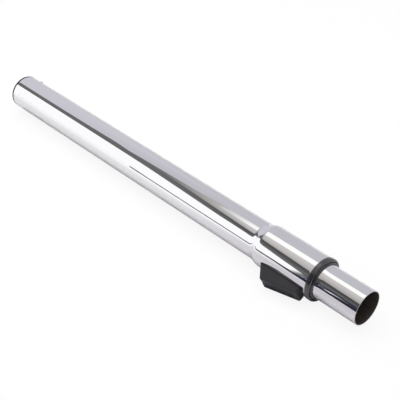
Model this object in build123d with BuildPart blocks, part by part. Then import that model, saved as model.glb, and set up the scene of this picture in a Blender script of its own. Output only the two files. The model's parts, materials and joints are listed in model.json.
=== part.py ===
"""Telescopic suction wand in chromed steel tube, lying as it comes to rest.

The wand lies along X with Z up. The origin is on the axis of the tubes, at the
handle end, and the mouth is at the far end of X. The release slider hangs below
the axis and to one side, where its lower edge meets the surface under the wand.
All sizes are in millimetres.
"""

from build123d import *

import os
from math import acos, atan2, cos, degrees, floor, hypot, radians, sin, sqrt

os.makedirs("parts", exist_ok=True)

# Tubes: the inner one sets the others, by the room around it and by the steps
inner_tube_diameter = 35.0
tube_wall = 0.8
tube_edge = 0.25
tube_room = 0.7
swage_rise = 2.45
tip_step = 0.35

# Lengths along the wand, from the handle end to the mouth
liner_lip = 1.2
barrel_length = 385.7
swage_length = 11.5
sleeve_length = 60.6
stub_length = 47.1
tip_taper_length = 14.0

# Gaps between the pieces
running_gap = 0.08
seat_gap = 0.05
slide_gap = 0.2
stop_gap = 0.5
nose_gap = 0.1

# Pressed nub near the handle end
nub_station = 15.1
nub_radius = 3.0
nub_height = 2.0

# Liner of the handle socket, and its peg in the nub
liner_length = 40.0
socket_slack = 0.05
peg_room = 0.9

# Bush and seal on the hidden end of the inner tube
bush_setback = 2.5
bush_head = 5.0
bush_skirt = 8.5
bush_spigot_wall = 0.9
bush_spigot_length = 6.0
seal_setback = 1.3
seal_width = 2.4
seal_depth = 1.4

# Row of lock notches
notch_pitch = 28.5
notch_depth = 1.6
notch_slack = 0.2

# Guide sleeve inside the widened end of the outer tube, and its felt ring
guide_setback = 0.6
guide_chamfer = 1.0
trough_floor = 1.4
felt_width = 4.0
felt_depth = 1.7

# Collar ring and wiper at the mouth of the outer tube
collar_rise = 0.45
collar_flange = 5.0
collar_spigot = 7.0
collar_round = 1.7
collar_back_edge = 0.3
collar_bore_gap = 0.25
wiper_depth = 2.1
wiper_seat = 2.2
wiper_lip = 1.5
wiper_lip_wall = 0.9

# Slot through the outer tube, covered by the slider at both ends
slot_cover_back = 4.7
slot_cover_nose = 5.0
slot_corner = 0.8

# Locking roller and its window
roller_station = 18.0
roller_diameter = 5.0
roller_length = 8.0
roller_edge = 0.3
window_slack = 0.1
cheek_thickness = 1.2
cheek_height = 0.9

# Release travel, and the rise of the ramp over the roller for each millimetre
release_travel = 3.5
ramp_rise = 0.5
ramp_margin = 1.0
plate_thickness = 1.2
plate_heel = 3.5

# Carriage of the slider
rail_thickness = 1.2
hook_reach = 1.2
hook_length = 6.0
deck_thickness = 1.0
web_thickness = 1.6
spine_thickness = 3.0
spine_setback = 3.0
key_thickness = 1.6

# Return spring
spring_diameter = 3.4
spring_wire = 0.5
spring_turns = 6
spring_peg_diameter = 1.8
spring_peg_length = 2.0
post_thickness = 2.0

# Slider cap, a wedge that is deep at the back and shallow at the nose
cap_length = 49.7
cap_width = 16.6
cap_lean = 10.6
cap_depth_back = 12.2
cap_depth_nose = 4.5
cap_wall = 1.6
cap_floor = 1.2
cap_skirt = 1.0
cap_round = 0.8
cap_corner = 2.0
cap_nose_chamfer = 2.5

# Grip pad let into the underside of the cap
pad_width = 11.0
pad_thickness = 2.0
pad_inset = 0.4
pad_dish = 0.8
pad_nose_margin = 6.0
pad_corner = 2.0

# Radii that follow from the sizes above
inner_r = inner_tube_diameter / 2
airway_r = inner_r - tube_wall
tip_r = inner_r - tip_step
bore_r = inner_r + tube_room
outer_r = bore_r + tube_wall
sleeve_r = outer_r + swage_rise
sleeve_bore_r = sleeve_r - tube_wall
liner_r = bore_r - seat_gap
socket_r = inner_r + socket_slack
bush_r = bore_r - running_gap
bush_bore_r = airway_r - seat_gap - bush_spigot_wall
guide_r = sleeve_bore_r - seat_gap
guide_bore_r = inner_r + running_gap
trough_r = guide_bore_r + trough_floor
collar_r = sleeve_r + collar_rise
wiper_r = inner_r + wiper_depth
roller_r = roller_diameter / 2
spring_peg_r = spring_peg_diameter / 2

# Stations that follow from the sizes above
swage_x = liner_lip + barrel_length
sleeve_x = swage_x + swage_length
sleeve_end = sleeve_x + sleeve_length
flange_end = sleeve_end + collar_flange
collar_end = flange_end + wiper_lip
mouth_x = collar_end + stub_length
guide_x = sleeve_x + guide_setback
guide_end = sleeve_end - collar_spigot
cap_end = sleeve_end - release_travel - nose_gap
cap_x = cap_end - cap_length
slot_x = cap_x + slot_cover_back
slot_end = cap_end - slot_cover_nose
felt_x = (guide_x + slot_x - felt_width) / 2
roller_x = slot_x + roller_station
bush_x = liner_length + bush_setback
bush_end = bush_x + bush_head + bush_skirt
tube_x = bush_x + bush_head

# The notches take up all the travel that the bush leaves
notch_steps = floor((guide_x - stop_gap - bush_end) / notch_pitch)
notch_r = roller_r + notch_slack
notch_floor = inner_r - notch_depth
roller_h = notch_floor + roller_r + seat_gap

# Widths of the lock, from its middle plane
rail_in = roller_length / 2 + slide_gap
rail_out = rail_in + rail_thickness
slot_half = rail_out + slide_gap
hook_out = rail_out + hook_reach
post_half = rail_in - slide_gap
window_half = roller_r + window_slack

# Stations and heights of the lock and of its spring
rail_x = slot_x + key_thickness + stop_gap
rail_end = slot_end - release_travel - stop_gap
web_x = roller_x + window_half + cheek_thickness + slide_gap
web_end = web_x + web_thickness
post_end = slot_end - seat_gap
post_x = post_end - post_thickness
hook_r = trough_r + slide_gap
spring_h = hook_r + spring_diameter / 2
spring_top = spring_h + spring_diameter / 2

# Underside of the lock plate: a heel, the ramp that clears the roller at rest by
# the seat gap, and a foot that ends at the web
ramp_norm = hypot(1, ramp_rise)
touch_x = roller_x + (roller_r + seat_gap) * ramp_rise / ramp_norm
touch_h = roller_h + (roller_r + seat_gap) / ramp_norm
ramp_x = touch_x - release_travel - ramp_margin
heel_h = touch_h + ramp_rise * (touch_x - ramp_x)
ramp_end = touch_x + ramp_margin
foot_h = touch_h - ramp_rise * ramp_margin
plate_end = web_x - seat_gap
deck_h = heel_h + plate_thickness + seat_gap

# Outline of the slider in the side view
cap_corner_x = cap_x + cap_lean
cap_back_h = sleeve_r + cap_depth_back
cap_nose_h = sleeve_r + cap_depth_nose
cap_seat_r = sleeve_r + slide_gap
cap_foot_h = sqrt(cap_seat_r**2 - (cap_width / 2) ** 2)
cap_slope = (cap_back_h - cap_nose_h) / (cap_end - cap_corner_x)
back_slope = cap_lean / (cap_back_h - cap_foot_h)
pad_recess = pad_thickness + pad_inset

# Roll of the wand about its axis at rest: it lies on the end of the outer tube,
# on the collar and on the lower edge of the slider
collar_x = sleeve_end + collar_flange / 2
rest_depth = outer_r + (collar_r - outer_r) * cap_corner_x / collar_x
corner_h = cap_back_h - cap_round
corner_w = cap_width / 2 - cap_round
corner_reach = hypot(corner_w, corner_h)
roll = degrees(atan2(corner_w, corner_h) + acos((rest_depth - cap_round) / corner_reach))

# Views of the wand: outwards is from the axis through the slider, and sideways
# is across the slider
outwards = Vector(0, -sin(radians(roll)), -cos(radians(roll)))
sideways = Vector(0, -cos(radians(roll)), sin(radians(roll)))
side_view = Plane(origin=(0, 0, 0), x_dir=(1, 0, 0), z_dir=-sideways)
plan_view = Plane(origin=(0, 0, 0), x_dir=(1, 0, 0), z_dir=outwards)


def end_view(x):
    """Cross-section at x, with the slider upwards in the sketch."""
    return Plane(origin=(x, 0, 0), x_dir=sideways, z_dir=(1, 0, 0))


def place(x, height=0.0, across=0.0):
    """Point at x along the wand, at a height outwards and a distance across."""
    return Vector(x, 0, 0) + outwards * height + sideways * across


def ring(x_start, x_end, r_in, r_out):
    """Rectangle in the side view that revolves to a plain ring."""
    with Locations(((x_start + x_end) / 2, (r_in + r_out) / 2)):
        Rectangle(x_end - x_start, r_out - r_in)


def block(x_start, x_end, half_width, h_low, h_high, mode=Mode.ADD):
    """Straight block across the middle plane, between two stations and heights."""
    centre = place((x_start + x_end) / 2, (h_low + h_high) / 2)
    with Locations(Plane(origin=centre, x_dir=(1, 0, 0), z_dir=outwards)):
        Box(x_end - x_start, 2 * half_width, h_high - h_low, mode=mode)


def swage_line(r_start, r_end):
    """S-curve from the barrel to the sleeve, tangent to both."""
    middle = (swage_x + swage_length / 2, (r_start + r_end) / 2)
    first = TangentArc((swage_x, r_start), middle, tangent=(1, 0))
    return TangentArc(first @ 1, (sleeve_x, r_end), tangent=first % 1)


def slider_outline(back_wall, under_wall, nose_wall, base):
    """Corners of the slider's wedge, set in by a wall on each side but the base."""
    back = cap_x + back_wall * hypot(1, back_slope)
    under = cap_back_h - under_wall * hypot(1, cap_slope)
    nose = cap_end - nose_wall
    under_at_zero = under + cap_slope * cap_corner_x
    corner_x = (back + back_slope * (under_at_zero - cap_foot_h)) / (1 + back_slope * cap_slope)
    return [
        (back + back_slope * (base - cap_foot_h), base),
        (corner_x, under_at_zero - cap_slope * corner_x),
        (nose, under_at_zero - cap_slope * nose),
        (nose, base),
    ]


# Outer tube: barrel, swage and sleeve in one wall, the slot, and the pressed nub
dome_r = (nub_radius**2 + nub_height**2) / (2 * nub_height)
dome_centre = place(nub_station, dome_r - nub_height - outer_r)
with BuildPart() as outer_tube:
    with BuildSketch(side_view):
        with BuildLine():
            outside = swage_line(outer_r, sleeve_r)
            inside = swage_line(bore_r, sleeve_bore_r)
            Polyline(outside @ 1, (sleeve_end, sleeve_r), (sleeve_end, sleeve_bore_r), inside @ 1)
            Polyline((swage_x, bore_r), (liner_lip, bore_r), (liner_lip, outer_r), (swage_x, outer_r))
        make_face()
    revolve(axis=Axis.X)
    rim = outer_tube.edges().filter_by(GeomType.CIRCLE).group_by(Axis.X)[-1]
    chamfer(rim.sort_by(SortBy.RADIUS)[-1], tube_edge)
    with BuildSketch(plan_view.offset(guide_bore_r)):
        with Locations(((slot_x + slot_end) / 2, 0)):
            RectangleRounded(slot_end - slot_x, 2 * slot_half, slot_corner)
    extrude(amount=sleeve_r, mode=Mode.SUBTRACT)
    with Locations(dome_centre):
        Sphere(dome_r)
    with Locations((nub_station, 0, 0)):
        Cylinder(bore_r, 2 * dome_r, rotation=(0, 90, 0), mode=Mode.SUBTRACT)
    with Locations(dome_centre):
        Sphere(dome_r - tube_wall, mode=Mode.SUBTRACT)
outer_tube.part.label = "outer_tube"

# Liner of the handle socket, with a lip over the rim and a peg that ends under the
# hollow of the nub
hollow_r = dome_r - tube_wall - seat_gap
liner_peg_r = hollow_r - peg_room
liner_peg_h = outer_r + nub_height - dome_r + sqrt(hollow_r**2 - liner_peg_r**2)
with BuildPart() as end_liner:
    with BuildSketch(plan_view):
        with Locations((nub_station, 0)):
            Circle(liner_peg_r)
    extrude(amount=-liner_peg_h)
    with BuildSketch(side_view):
        ring(0, liner_length, socket_r, liner_r)
        ring(0, liner_lip - seat_gap, socket_r, outer_r)
    revolve(axis=Axis.X)
    with Locations((nub_station, 0, 0)):
        Cylinder(socket_r, 2 * dome_r, rotation=(0, 90, 0), mode=Mode.SUBTRACT)
    rims = end_liner.edges().filter_by(GeomType.CIRCLE)
    chamfer(rims.group_by(Axis.X)[0].sort_by(SortBy.RADIUS)[-1], tube_edge)
end_liner.part.label = "end_liner"

# Inner tube: a drawn tube with a tapered tip and a row of pressed notches
notch_stations = [roller_x - step * notch_pitch for step in range(notch_steps + 1)]
notch_places = [place(station, notch_floor + notch_r) for station in notch_stations]
taper_x = collar_end
taper_end = taper_x + tip_taper_length


def tube_bar(r_body, r_tip):
    """Half section of a bar with the inner tube's body, taper and tip."""
    Polyline(
        (tube_x, 0),
        (tube_x, r_body),
        (taper_x, r_body),
        (taper_end, r_tip),
        (mouth_x, r_tip),
        (mouth_x, 0),
        close=True,
    )


def notch_rods(radius, mode):
    """Rods across the tube, one at each notch."""
    for centre in notch_places:
        with Locations(Plane(origin=centre, x_dir=(1, 0, 0), z_dir=sideways)):
            Cylinder(radius, inner_tube_diameter, mode=mode)


with BuildPart() as airway:
    with BuildSketch(side_view):
        with BuildLine():
            tube_bar(airway_r, tip_r - tube_wall)
        make_face()
    revolve(axis=Axis.X)
    notch_rods(notch_r + tube_wall, Mode.SUBTRACT)

with BuildPart() as inner_tube:
    with BuildSketch(side_view):
        with BuildLine():
            tube_bar(inner_r, tip_r)
        make_face()
    revolve(axis=Axis.X)
    rim = inner_tube.edges().filter_by(GeomType.CIRCLE).group_by(Axis.X)[-1]
    chamfer(rim, tube_edge)
    notch_rods(notch_r, Mode.SUBTRACT)
    add(airway.part, mode=Mode.SUBTRACT)
inner_tube.part.label = "inner_tube"

# Bush that grips the hidden end of the inner tube, and the seal in its groove
seal_x = bush_x + seal_setback
seal_end = seal_x + seal_width
with BuildPart() as rear_bush:
    with BuildSketch(side_view):
        ring(bush_x, tube_x, bush_bore_r, bush_r)
        ring(tube_x - tube_edge, bush_end, inner_r + seat_gap, bush_r)
        ring(tube_x - tube_edge, tube_x + bush_spigot_length, bush_bore_r, airway_r - seat_gap)
        with Locations(((seal_x + seal_end) / 2, bush_r)):
            Rectangle(seal_width, 2 * seal_depth, mode=Mode.SUBTRACT)
    revolve(axis=Axis.X)
rear_bush.part.label = "rear_bush"

with BuildPart() as rear_seal:
    with BuildSketch(side_view):
        ring(seal_x + seat_gap, seal_end - seat_gap, bush_r - seal_depth + seat_gap, bush_r)
    revolve(axis=Axis.X)
rear_seal.part.label = "rear_seal"

# Guide sleeve: a bush with a trough for the slider's hooks, the roller's window
# between two cheeks, a key at one end of the slot and the spring post at the other
trough_x = slot_x + key_thickness
trough_half = hook_out + slide_gap
root_r = (guide_bore_r + trough_r) / 2
felt_end = felt_x + felt_width
roller_room = roller_length / 2 + window_slack
cheek_reach = window_half + cheek_thickness
cheek_top = trough_r + cheek_height
window_x = roller_x - window_half
with BuildPart() as guide_sleeve:
    with BuildSketch(side_view):
        ring(guide_x, guide_end, guide_bore_r, guide_r)
        with Locations(((felt_x + felt_end) / 2, guide_bore_r)):
            Rectangle(felt_width, 2 * felt_depth, mode=Mode.SUBTRACT)
    revolve(axis=Axis.X)
    back_rims = guide_sleeve.edges().filter_by(GeomType.CIRCLE).group_by(Axis.X)[0]
    chamfer(back_rims.sort_by(SortBy.RADIUS)[-1], guide_chamfer)
    with BuildSketch(end_view(trough_x)):
        with Locations((0, guide_r)):
            Rectangle(2 * trough_half, 2 * (guide_r - guide_bore_r))
        Circle(trough_r, mode=Mode.SUBTRACT)
    extrude(amount=slot_end - trough_x, mode=Mode.SUBTRACT)
    block(roller_x - cheek_reach, roller_x + cheek_reach, post_half, root_r, cheek_top)
    block(post_x, post_end, post_half, root_r, spring_top)
    block(slot_x + seat_gap, trough_x, post_half, root_r, sleeve_r - slide_gap)
    block(window_x, window_x + 2 * window_half, roller_room, 0, sleeve_r, mode=Mode.SUBTRACT)
    with Locations(Plane(origin=place(post_x, spring_h), z_dir=(-1, 0, 0))):
        Cylinder(spring_peg_r, spring_peg_length, align=(Align.CENTER, Align.CENTER, Align.MIN))
guide_sleeve.part.label = "guide_sleeve"

with BuildPart() as felt_ring:
    with BuildSketch(side_view):
        felt_r = guide_bore_r + felt_depth - seat_gap
        ring(felt_x + seat_gap, felt_end - seat_gap, guide_bore_r, felt_r)
    revolve(axis=Axis.X)
felt_ring.part.label = "felt_ring"

# Collar ring: a spigot in the sleeve and a flange over its rim, with its front round
# in three flats to hold its facets down
collar_bore_r = inner_r + collar_bore_gap
wiper_x = flange_end - wiper_seat
front_round = [
    (
        flange_end - collar_round * (1 - sin(radians(turn))),
        collar_r - collar_round * (1 - cos(radians(turn))),
    )
    for turn in (0, 30, 60, 90)
]
with BuildPart() as collar_ring:
    with BuildSketch(side_view):
        with BuildLine():
            Polyline(
                (guide_end, collar_bore_r),
                (guide_end, guide_r),
                (sleeve_end, guide_r),
                (sleeve_end, collar_r - collar_back_edge),
                (sleeve_end + collar_back_edge, collar_r),
                *front_round,
                (flange_end, wiper_r),
                (wiper_x, wiper_r),
                (wiper_x, collar_bore_r),
                close=True,
            )
        make_face()
    revolve(axis=Axis.X)
collar_ring.part.label = "collar_ring"

# Wiper: a soft ring let into the collar, with a lip that thins towards the mouth
with BuildPart() as wiper_seal:
    with BuildSketch(side_view):
        with BuildLine():
            Polyline(
                (wiper_x + seat_gap, guide_bore_r),
                (wiper_x + seat_gap, wiper_r - seat_gap),
                (flange_end, wiper_r - seat_gap),
                (collar_end, guide_bore_r + wiper_lip_wall),
                (collar_end, guide_bore_r),
                close=True,
            )
        make_face()
    revolve(axis=Axis.X)
wiper_seal.part.label = "wiper_seal"

# Locking roller, in the notch of the inner tube
with BuildPart() as locking_roller:
    with Locations(Plane(origin=place(roller_x, roller_h), z_dir=sideways)):
        Cylinder(roller_r, roller_length)
    chamfer(locking_roller.edges().filter_by(GeomType.CIRCLE), roller_edge)
locking_roller.part.label = "locking_roller"

# Lock plate: folded steel strip whose ramp lets the roller out of its notch
with BuildPart() as lock_plate:
    with BuildSketch(side_view):
        Polygon(
            (ramp_x - plate_heel, heel_h),
            (ramp_x, heel_h),
            (ramp_end, foot_h),
            (plate_end, foot_h),
            (plate_end, foot_h + plate_thickness),
            (ramp_end, foot_h + plate_thickness),
            (ramp_x, heel_h + plate_thickness),
            (ramp_x - plate_heel, heel_h + plate_thickness),
            align=None,
        )
    extrude(amount=post_half, both=True)
lock_plate.part.label = "lock_plate"

# Carriage: two rails through the slot with hooks under its edges, a deck over the
# lock plate, a web that pushes the spring, and a spine that carries the cap
deck_half = cap_width / 2 - cap_wall - seat_gap
deck_top = deck_h + deck_thickness
spine_x = cap_corner_x + spine_setback
spine_wall = pad_recess + cap_floor + seat_gap
with BuildPart() as slider_carriage:
    block(rail_x, rail_end, rail_out, hook_r, spring_top)
    block(rail_x, web_end, rail_out, spring_top, deck_h)
    block(rail_x, web_end, deck_half, deck_h, deck_top)
    block(web_end, rail_end, rail_in, 0, deck_top, mode=Mode.SUBTRACT)
    with BuildSketch(side_view):
        Polygon(
            (rail_x, 0),
            (web_x, 0),
            (web_x, foot_h + plate_thickness + seat_gap),
            (ramp_end + seat_gap, foot_h + plate_thickness + seat_gap),
            (ramp_x + seat_gap, deck_h),
            (ramp_x - plate_heel - seat_gap, deck_h),
            (ramp_x - plate_heel - seat_gap, heel_h),
            (rail_x, heel_h),
            align=None,
        )
    extrude(amount=rail_in, both=True, mode=Mode.SUBTRACT)
    for hook_x in (rail_x, rail_end - hook_length):
        with BuildSketch(end_view(hook_x)) as hooks:
            with Locations((0, guide_r)):
                Rectangle(2 * hook_out, 2 * (guide_r - guide_bore_r))
                Rectangle(2 * rail_in, 2 * guide_r, mode=Mode.SUBTRACT)
            Circle(hook_r, mode=Mode.SUBTRACT)
            Circle(sleeve_bore_r - slide_gap, mode=Mode.INTERSECT)
        extrude(amount=hook_length)
    with BuildSketch(side_view):
        with BuildLine():
            spine_line = slider_outline(cap_wall + seat_gap, spine_wall, 0, deck_h)
            corner_x, corner_h = spine_line[1]
            back_x = max(spine_x, corner_x)
            Polyline(
                (back_x, deck_h),
                (back_x, corner_h - cap_slope * (back_x - corner_x)),
                (web_end, corner_h - cap_slope * (web_end - corner_x)),
                (web_end, deck_h),
                close=True,
            )
        make_face()
    extrude(amount=spine_thickness / 2, both=True)
    with Locations(Plane(origin=place(web_end, spring_h), z_dir=(1, 0, 0))):
        Cylinder(spring_peg_r, spring_peg_length, align=(Align.CENTER, Align.CENTER, Align.MIN))
slider_carriage.part.label = "slider_carriage"

# Return spring between the web and the post, its wire as a hexagon to hold its facets down
spring_start = web_end + seat_gap + spring_wire / 2
spring_length = post_x - seat_gap - spring_wire / 2 - spring_start
with BuildPart() as return_spring:
    with BuildLine():
        coil = Helix(
            pitch=spring_length / spring_turns,
            height=spring_length,
            radius=(spring_diameter - spring_wire) / 2,
            center=place(spring_start, spring_h),
            direction=(1, 0, 0),
        )
    with BuildSketch(Plane(origin=coil @ 0, z_dir=coil % 0)):
        RegularPolygon(spring_wire / 2, 6)
    sweep(is_frenet=True)
return_spring.part.label = "return_spring"

# Underside of the slider: a plane that slopes from its back corner to its nose
under_origin = place(cap_corner_x, cap_back_h)
under_x = Vector(1, 0, 0) - outwards * cap_slope
under_normal = outwards + Vector(1, 0, 0) * cap_slope
under_view = Plane(origin=under_origin, x_dir=under_x, z_dir=under_normal)
pad_end = (cap_end - cap_corner_x) * hypot(1, cap_slope) - pad_nose_margin
pad_start = -cap_depth_back
outline_base = cap_foot_h - cap_skirt


def pad_outline(gap):
    """Strip along the underside, rounded at the nose and open at the back."""
    with Locations(((pad_start + pad_end) / 2, 0)):
        RectangleRounded(pad_end - pad_start - 2 * gap, pad_width - 2 * gap, pad_corner)


# Slider cap: a hollow wedge that sits astride the sleeve
with BuildPart() as slider_cap:
    with BuildSketch(side_view) as wedge:
        Polygon(*slider_outline(0, 0, 0, outline_base), align=None)
        fillet(wedge.vertices().group_by(Axis.Y)[-1], cap_corner)
    extrude(amount=cap_width / 2, both=True)
    nose_edges = slider_cap.edges().filter_by(Axis((0, 0, 0), outwards)).group_by(Axis.X)[-1]
    chamfer(nose_edges, cap_nose_chamfer)
    cheeks = slider_cap.faces().sort_by(Axis((0, 0, 0), sideways))
    fillet(cheeks[0].edges() + cheeks[-1].edges(), cap_round)
    with BuildSketch(side_view):
        under_wall = pad_recess + cap_floor
        Polygon(*slider_outline(cap_wall, under_wall, cap_wall, 0), align=None)
    extrude(amount=cap_width / 2 - cap_wall, both=True, mode=Mode.SUBTRACT)
    with Locations((cap_x + cap_length / 2, 0, 0)):
        Cylinder(cap_seat_r, 2 * cap_length, rotation=(0, 90, 0), mode=Mode.SUBTRACT)
    with BuildSketch(under_view):
        pad_outline(0)
    extrude(amount=-pad_recess, mode=Mode.SUBTRACT)
slider_cap.part.label = "slider_cap"

# Grip pad: an inlay with a dished face, flush with the back of the cap
dish_r = ((pad_width / 2) ** 2 + pad_dish**2) / (2 * pad_dish)
with BuildPart() as slider_pad:
    with BuildSketch(under_view.offset(-pad_inset)):
        pad_outline(seat_gap)
    extrude(amount=seat_gap - pad_thickness)
    with Locations(under_view.offset(dish_r - pad_dish - pad_inset)):
        Cylinder(dish_r, 3 * cap_length, rotation=(0, 90, 0), mode=Mode.SUBTRACT)
    with BuildSketch(side_view) as trim:
        Polygon(*slider_outline(0, 0, 0, outline_base), align=None)
        fillet(trim.vertices().group_by(Axis.Y)[-1], cap_corner)
    extrude(amount=pad_width, both=True, mode=Mode.INTERSECT)
slider_pad.part.label = "slider_pad"

for piece in (
    outer_tube,
    end_liner,
    inner_tube,
    rear_bush,
    rear_seal,
    guide_sleeve,
    felt_ring,
    collar_ring,
    wiper_seal,
    locking_roller,
    lock_plate,
    slider_carriage,
    return_spring,
    slider_cap,
    slider_pad,
):
    export_step(piece.part, f"parts/{piece.part.label}.step")
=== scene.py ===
"""Looks of the telescopic suction wand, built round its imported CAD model.

The wand lies along X with Z up, with its origin on the axis of the tubes at the
handle end. Finer meshes of the same form replace both chromed tubes, the rings on the
sleeve's rim, the socket's liner and the return spring. The other pieces keep their CAD
mesh, and every piece gets the finish of its real material. Lengths are in millimetres
until a mesh, lamp or camera is made.
"""

import json
import logging
from collections.abc import Callable, Sequence
from dataclasses import dataclass, field
from enum import Enum
from math import cos, pi, sin, sqrt

import bpy
import numpy as np
from bpy.types import ID, Material, Mesh, Node, NodeSocket, NodeTree, Object, World
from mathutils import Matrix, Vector


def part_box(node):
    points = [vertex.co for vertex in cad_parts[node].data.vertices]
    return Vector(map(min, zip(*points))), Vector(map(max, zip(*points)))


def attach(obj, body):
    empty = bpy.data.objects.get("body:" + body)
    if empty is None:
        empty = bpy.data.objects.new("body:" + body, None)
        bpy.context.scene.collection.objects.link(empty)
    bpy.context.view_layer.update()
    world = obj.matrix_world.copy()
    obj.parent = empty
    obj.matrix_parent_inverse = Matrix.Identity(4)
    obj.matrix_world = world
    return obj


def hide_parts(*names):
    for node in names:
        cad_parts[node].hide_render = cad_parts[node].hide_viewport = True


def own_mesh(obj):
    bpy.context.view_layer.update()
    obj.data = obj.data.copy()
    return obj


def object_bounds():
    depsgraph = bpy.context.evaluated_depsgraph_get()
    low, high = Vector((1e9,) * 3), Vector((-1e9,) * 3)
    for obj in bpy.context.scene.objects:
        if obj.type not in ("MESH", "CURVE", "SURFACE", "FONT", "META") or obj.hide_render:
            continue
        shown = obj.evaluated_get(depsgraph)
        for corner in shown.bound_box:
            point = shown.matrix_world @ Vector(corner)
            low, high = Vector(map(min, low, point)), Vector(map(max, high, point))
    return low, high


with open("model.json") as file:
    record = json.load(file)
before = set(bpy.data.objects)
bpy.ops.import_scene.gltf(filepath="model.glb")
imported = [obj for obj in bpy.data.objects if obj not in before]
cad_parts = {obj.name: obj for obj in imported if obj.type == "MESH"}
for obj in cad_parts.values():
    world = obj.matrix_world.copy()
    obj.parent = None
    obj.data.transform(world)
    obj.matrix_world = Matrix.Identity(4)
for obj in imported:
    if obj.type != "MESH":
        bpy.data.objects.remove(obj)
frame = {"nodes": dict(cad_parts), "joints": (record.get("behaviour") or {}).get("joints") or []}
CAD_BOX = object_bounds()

LOG = logging.getLogger("wand")
MM = 0.001
IMAGE_SIZE_PX = 400


class Side(Enum):
    """Which face of a tube's wall a station belongs to."""

    OUTSIDE = "outside"
    RIM = "rim"
    BORE = "bore"


def srgb(hex_code: str) -> tuple[float, float, float, float]:
    """Turns an sRGB hex code into a linear colour.

    Args:
        hex_code: Six hex digits, with or without a leading hash.

    Returns:
        The linear red, green and blue, and an alpha of one.
    """
    digits = hex_code.lstrip("#")
    channels = [int(digits[i : i + 2], 16) / 255 for i in (0, 2, 4)]
    linear = [c / 12.92 if c <= 0.04045 else ((c + 0.055) / 1.055) ** 2.4 for c in channels]
    return (linear[0], linear[1], linear[2], 1.0)


def add_node(tree: NodeTree, kind: str, settings: dict | None = None, **inputs: object) -> Node:
    """Adds a node, with its settings, values and links.

    Args:
        tree: The node tree that the node goes into.
        kind: Blender's name for the node's type.
        settings: Properties of the node itself.
        **inputs: Input sockets, where a space is an underscore and a socket that is
            found by its place is i0, i1 and so on. A socket is linked, a value is set.

    Returns:
        The new node.
    """
    node = tree.nodes.new(kind)
    for name, value in (settings or {}).items():
        setattr(node, name, value)
    for name, value in inputs.items():
        by_place = name[0] == "i" and name[1:].isdigit()
        socket = node.inputs[int(name[1:])] if by_place else node.inputs[name.replace("_", " ")]
        if isinstance(value, NodeSocket):
            tree.links.new(value, socket)
        else:
            socket.default_value = value
    return node


def span(given: tuple[float, float], wanted: tuple[float, float]) -> dict[str, float]:
    """Names the four values that turn one range of numbers into another."""
    return {"From_Min": given[0], "From_Max": given[1], "To_Min": wanted[0], "To_Max": wanted[1]}


def empty_tree(owner: Material | World) -> NodeTree:
    """Gives a material or a world a node tree with no nodes.

    Args:
        owner: The material or world.

    Returns:
        Its node tree.
    """
    owner.use_nodes = True
    owner.node_tree.nodes.clear()
    return owner.node_tree


def put_in_scene(name: str, data: ID) -> Object:
    """Makes an object of a mesh, lamp or camera, in the scene's collection.

    Args:
        name: The object's name.
        data: The mesh, lamp or camera.

    Returns:
        The new object.
    """
    made = bpy.data.objects.new(name, data)
    bpy.context.scene.collection.objects.link(made)
    return made


@dataclass(frozen=True)
class Surface:
    """A material in the making, with the sockets that its patterns start from."""

    tree: NodeTree
    shader: Node
    place: NodeSocket
    grain: NodeSocket

    def feed(self, name: str, value: NodeSocket) -> None:
        """Links a value to the shader's input of that name."""
        self.tree.links.new(value, self.shader.inputs[name])


@dataclass(frozen=True)
class Finish:
    """A real material, with the grain or lines that its making leaves on it."""

    name: str
    colour: str
    roughness: float
    metallic: float = 0.0
    sheen: float = 0.0
    grain_mm: float = 0.25
    grain_length_mm: float | None = None
    grain_depth_mm: float = 0.01
    grain_strength: float = 0.5
    grain_detail: float = 2.0

    def material(self) -> Material:
        """Builds the material, or returns it if it is built already.

        Returns:
            The Blender material of this finish.
        """
        known = bpy.data.materials.get(self.name)
        if known:
            return known
        made = bpy.data.materials.new(self.name)
        tree = empty_tree(made)
        shader = add_node(tree, "ShaderNodeBsdfPrincipled")
        add_node(tree, "ShaderNodeOutputMaterial", Surface=shader.outputs[0])
        shader.inputs["Base Color"].default_value = srgb(self.colour)
        shader.inputs["Roughness"].default_value = self.roughness
        shader.inputs["Metallic"].default_value = self.metallic
        shader.inputs["Sheen Weight"].default_value = self.sheen
        place = add_node(tree, "ShaderNodeTexCoord").outputs["Object"]
        sizes = (self.grain_length_mm or self.grain_mm, self.grain_mm, self.grain_mm)
        scale = tuple(1 / (size * MM) for size in sizes)
        drawn = add_node(tree, "ShaderNodeMapping", Vector=place, Scale=scale).outputs[0]
        detail = self.grain_detail
        grain = add_node(tree, "ShaderNodeTexNoise", Vector=drawn, Scale=1.0, Detail=detail)
        bump = add_node(
            tree,
            "ShaderNodeBump",
            Strength=self.grain_strength,
            Distance=self.grain_depth_mm * MM,
            Height=grain.outputs[0],
        )
        surface = Surface(tree, shader, place, grain.outputs[0])
        surface.feed("Normal", bump.outputs[0])
        self.dress(surface)
        return made

    def dress(self, surface: Surface) -> None:
        """Adds what this kind of surface has beside its grain."""


@dataclass(frozen=True)
class ChromePlate(Finish):
    """Nickel and chrome plate on drawn tube: a mirror, with the polish's faint haze."""

    metallic: float = 1.0
    # Polishing marks are about 0.05 mm in life, too fine to show, so they are drawn coarser
    grain_mm: float = 0.9
    grain_depth_mm: float = 0.00035
    grain_strength: float = 1.0
    haze_mm: float = 26.0
    haze_noise: tuple[float, float] = (0.35, 0.7)
    haze_range: tuple[float, float] = (0.025, 0.06)

    def dress(self, surface: Surface) -> None:
        """Adds the haze that polishing leaves, as roughness.

        Args:
            surface: The surface in the making.
        """
        tree, place, scale = surface.tree, surface.place, 1 / (self.haze_mm * MM)
        haze = add_node(tree, "ShaderNodeTexNoise", Vector=place, Scale=scale, Detail=4.0)
        values = span(self.haze_noise, self.haze_range)
        rough = add_node(tree, "ShaderNodeMapRange", Value=haze.outputs[0], **values)
        surface.feed("Roughness", rough.outputs[0])


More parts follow.
